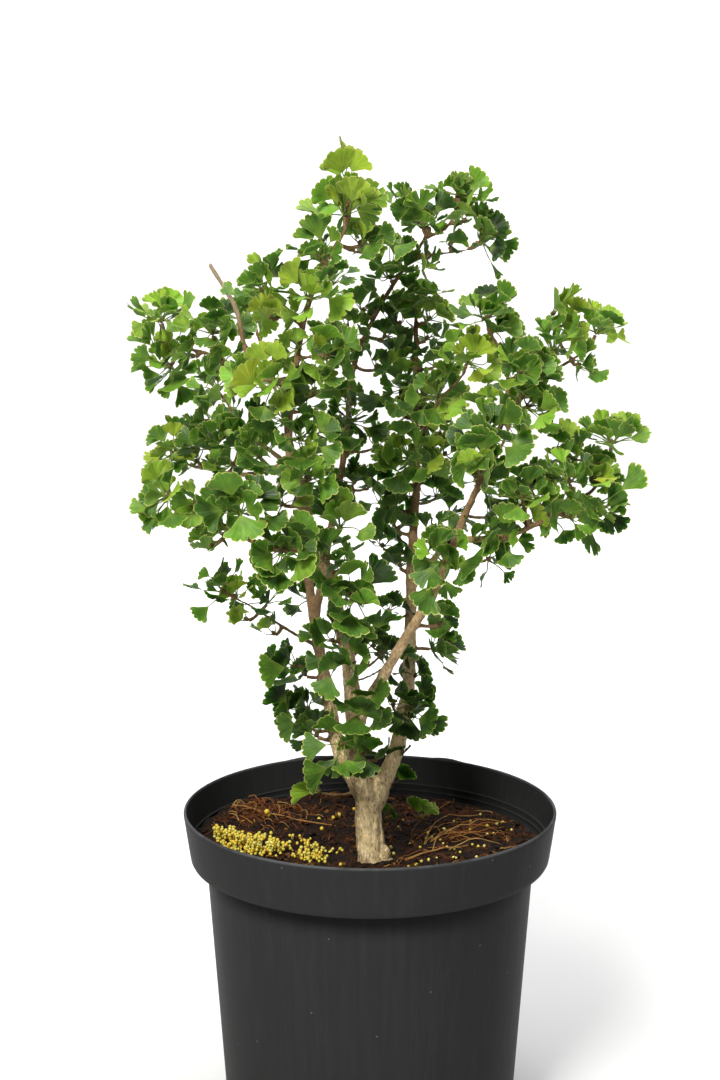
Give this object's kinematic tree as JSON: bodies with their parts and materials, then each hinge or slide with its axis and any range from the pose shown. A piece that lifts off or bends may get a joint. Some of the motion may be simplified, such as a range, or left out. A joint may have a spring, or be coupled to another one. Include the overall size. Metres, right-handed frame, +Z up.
{
  "type": "ginkgo bonsai",
  "caption": "Dwarf ginkgo shrub with fan-shaped leaves on forked upright stems, rooted in a round black nursery pot of soil.",
  "frame": {"origin": "centre of the pot's flat base, where it stands", "axes": "+Z is up along the trunk, -Y is the front seen in the picture, +X is to the right in it"},
  "size_m": [0.3044, 0.2624, 0.5944],
  "materials": {
    "pot_plastic": "satin charcoal black, moulded",
    "potting_mix": "loose damp peat and bark fibre",
    "prill_coating": "yellow coated fertiliser grains",
    "dry_twig": "dry, dull",
    "bark": "tan-grey bark, rough low down and smoother on young shoots",
    "leaf": "living green leaf, satin, paler below"
  },
  "bodies": {
    "root": {"fallen_twig_left": "dry_twig", "fallen_twig_right": "dry_twig", "fertiliser_prills": "prill_coating", "leaves_back_centre": "leaf", "leaves_back_far_left": "leaf", "leaves_back_left": "leaf", "leaves_back_left_top": "leaf", "leaves_back_right": "leaf", "leaves_back_top": "leaf", "leaves_centre_bright": "leaf", "leaves_centre_high": "leaf", "leaves_centre_middle": "leaf", "leaves_centre_right": "leaf", "leaves_centre_right_top": "leaf", "leaves_centre_top": "leaf", "leaves_crown_bright": "leaf", "leaves_crown_left_of_top": "leaf", "leaves_crown_top": "leaf", "leaves_front_right": "leaf", "leaves_left_bright": "leaf", "leaves_left_high_outer": "leaf", "leaves_left_high_short": "leaf", "leaves_left_high_tip": "leaf", "leaves_left_high_top": "leaf", "leaves_left_inner": "leaf", "leaves_left_low_inner": "leaf", "leaves_left_low_tip": "leaf", "leaves_left_low_top": "leaf", "leaves_left_middle": "leaf", "leaves_left_middle_tip": "leaf", "leaves_left_stem_high": "leaf", "leaves_left_stem_middle": "leaf", "leaves_low_back_left": "leaf", "leaves_low_front": "leaf", "leaves_low_front_base": "leaf", "leaves_low_front_left": "leaf", "leaves_low_left_inner": "leaf", "leaves_low_left_tip": "leaf", "leaves_low_right": "leaf", "leaves_low_right_outer": "leaf", "leaves_middle_front": "leaf", "leaves_middle_heart": "leaf", "leaves_middle_high": "leaf", "leaves_right_front": "leaf", "leaves_right_high_fans": "leaf", "leaves_right_high_inner": "leaf", "leaves_right_high_tip": "leaf", "leaves_right_low_middle": "leaf", "leaves_right_low_top": "leaf", "leaves_right_middle": "leaf", "leaves_right_shoulder": "leaf", "leaves_right_tip": "leaf", "leaves_right_tip_under": "leaf", "leaves_right_top_fans": "leaf", "leaves_right_top_outer": "leaf", "leaves_right_top_tip": "leaf", "leaves_stem_right_outer": "leaf", "nursery_pot": "pot_plastic", "potting_soil": "potting_mix", "trunk_and_branches": "bark"}
  },
  "joints": []
}
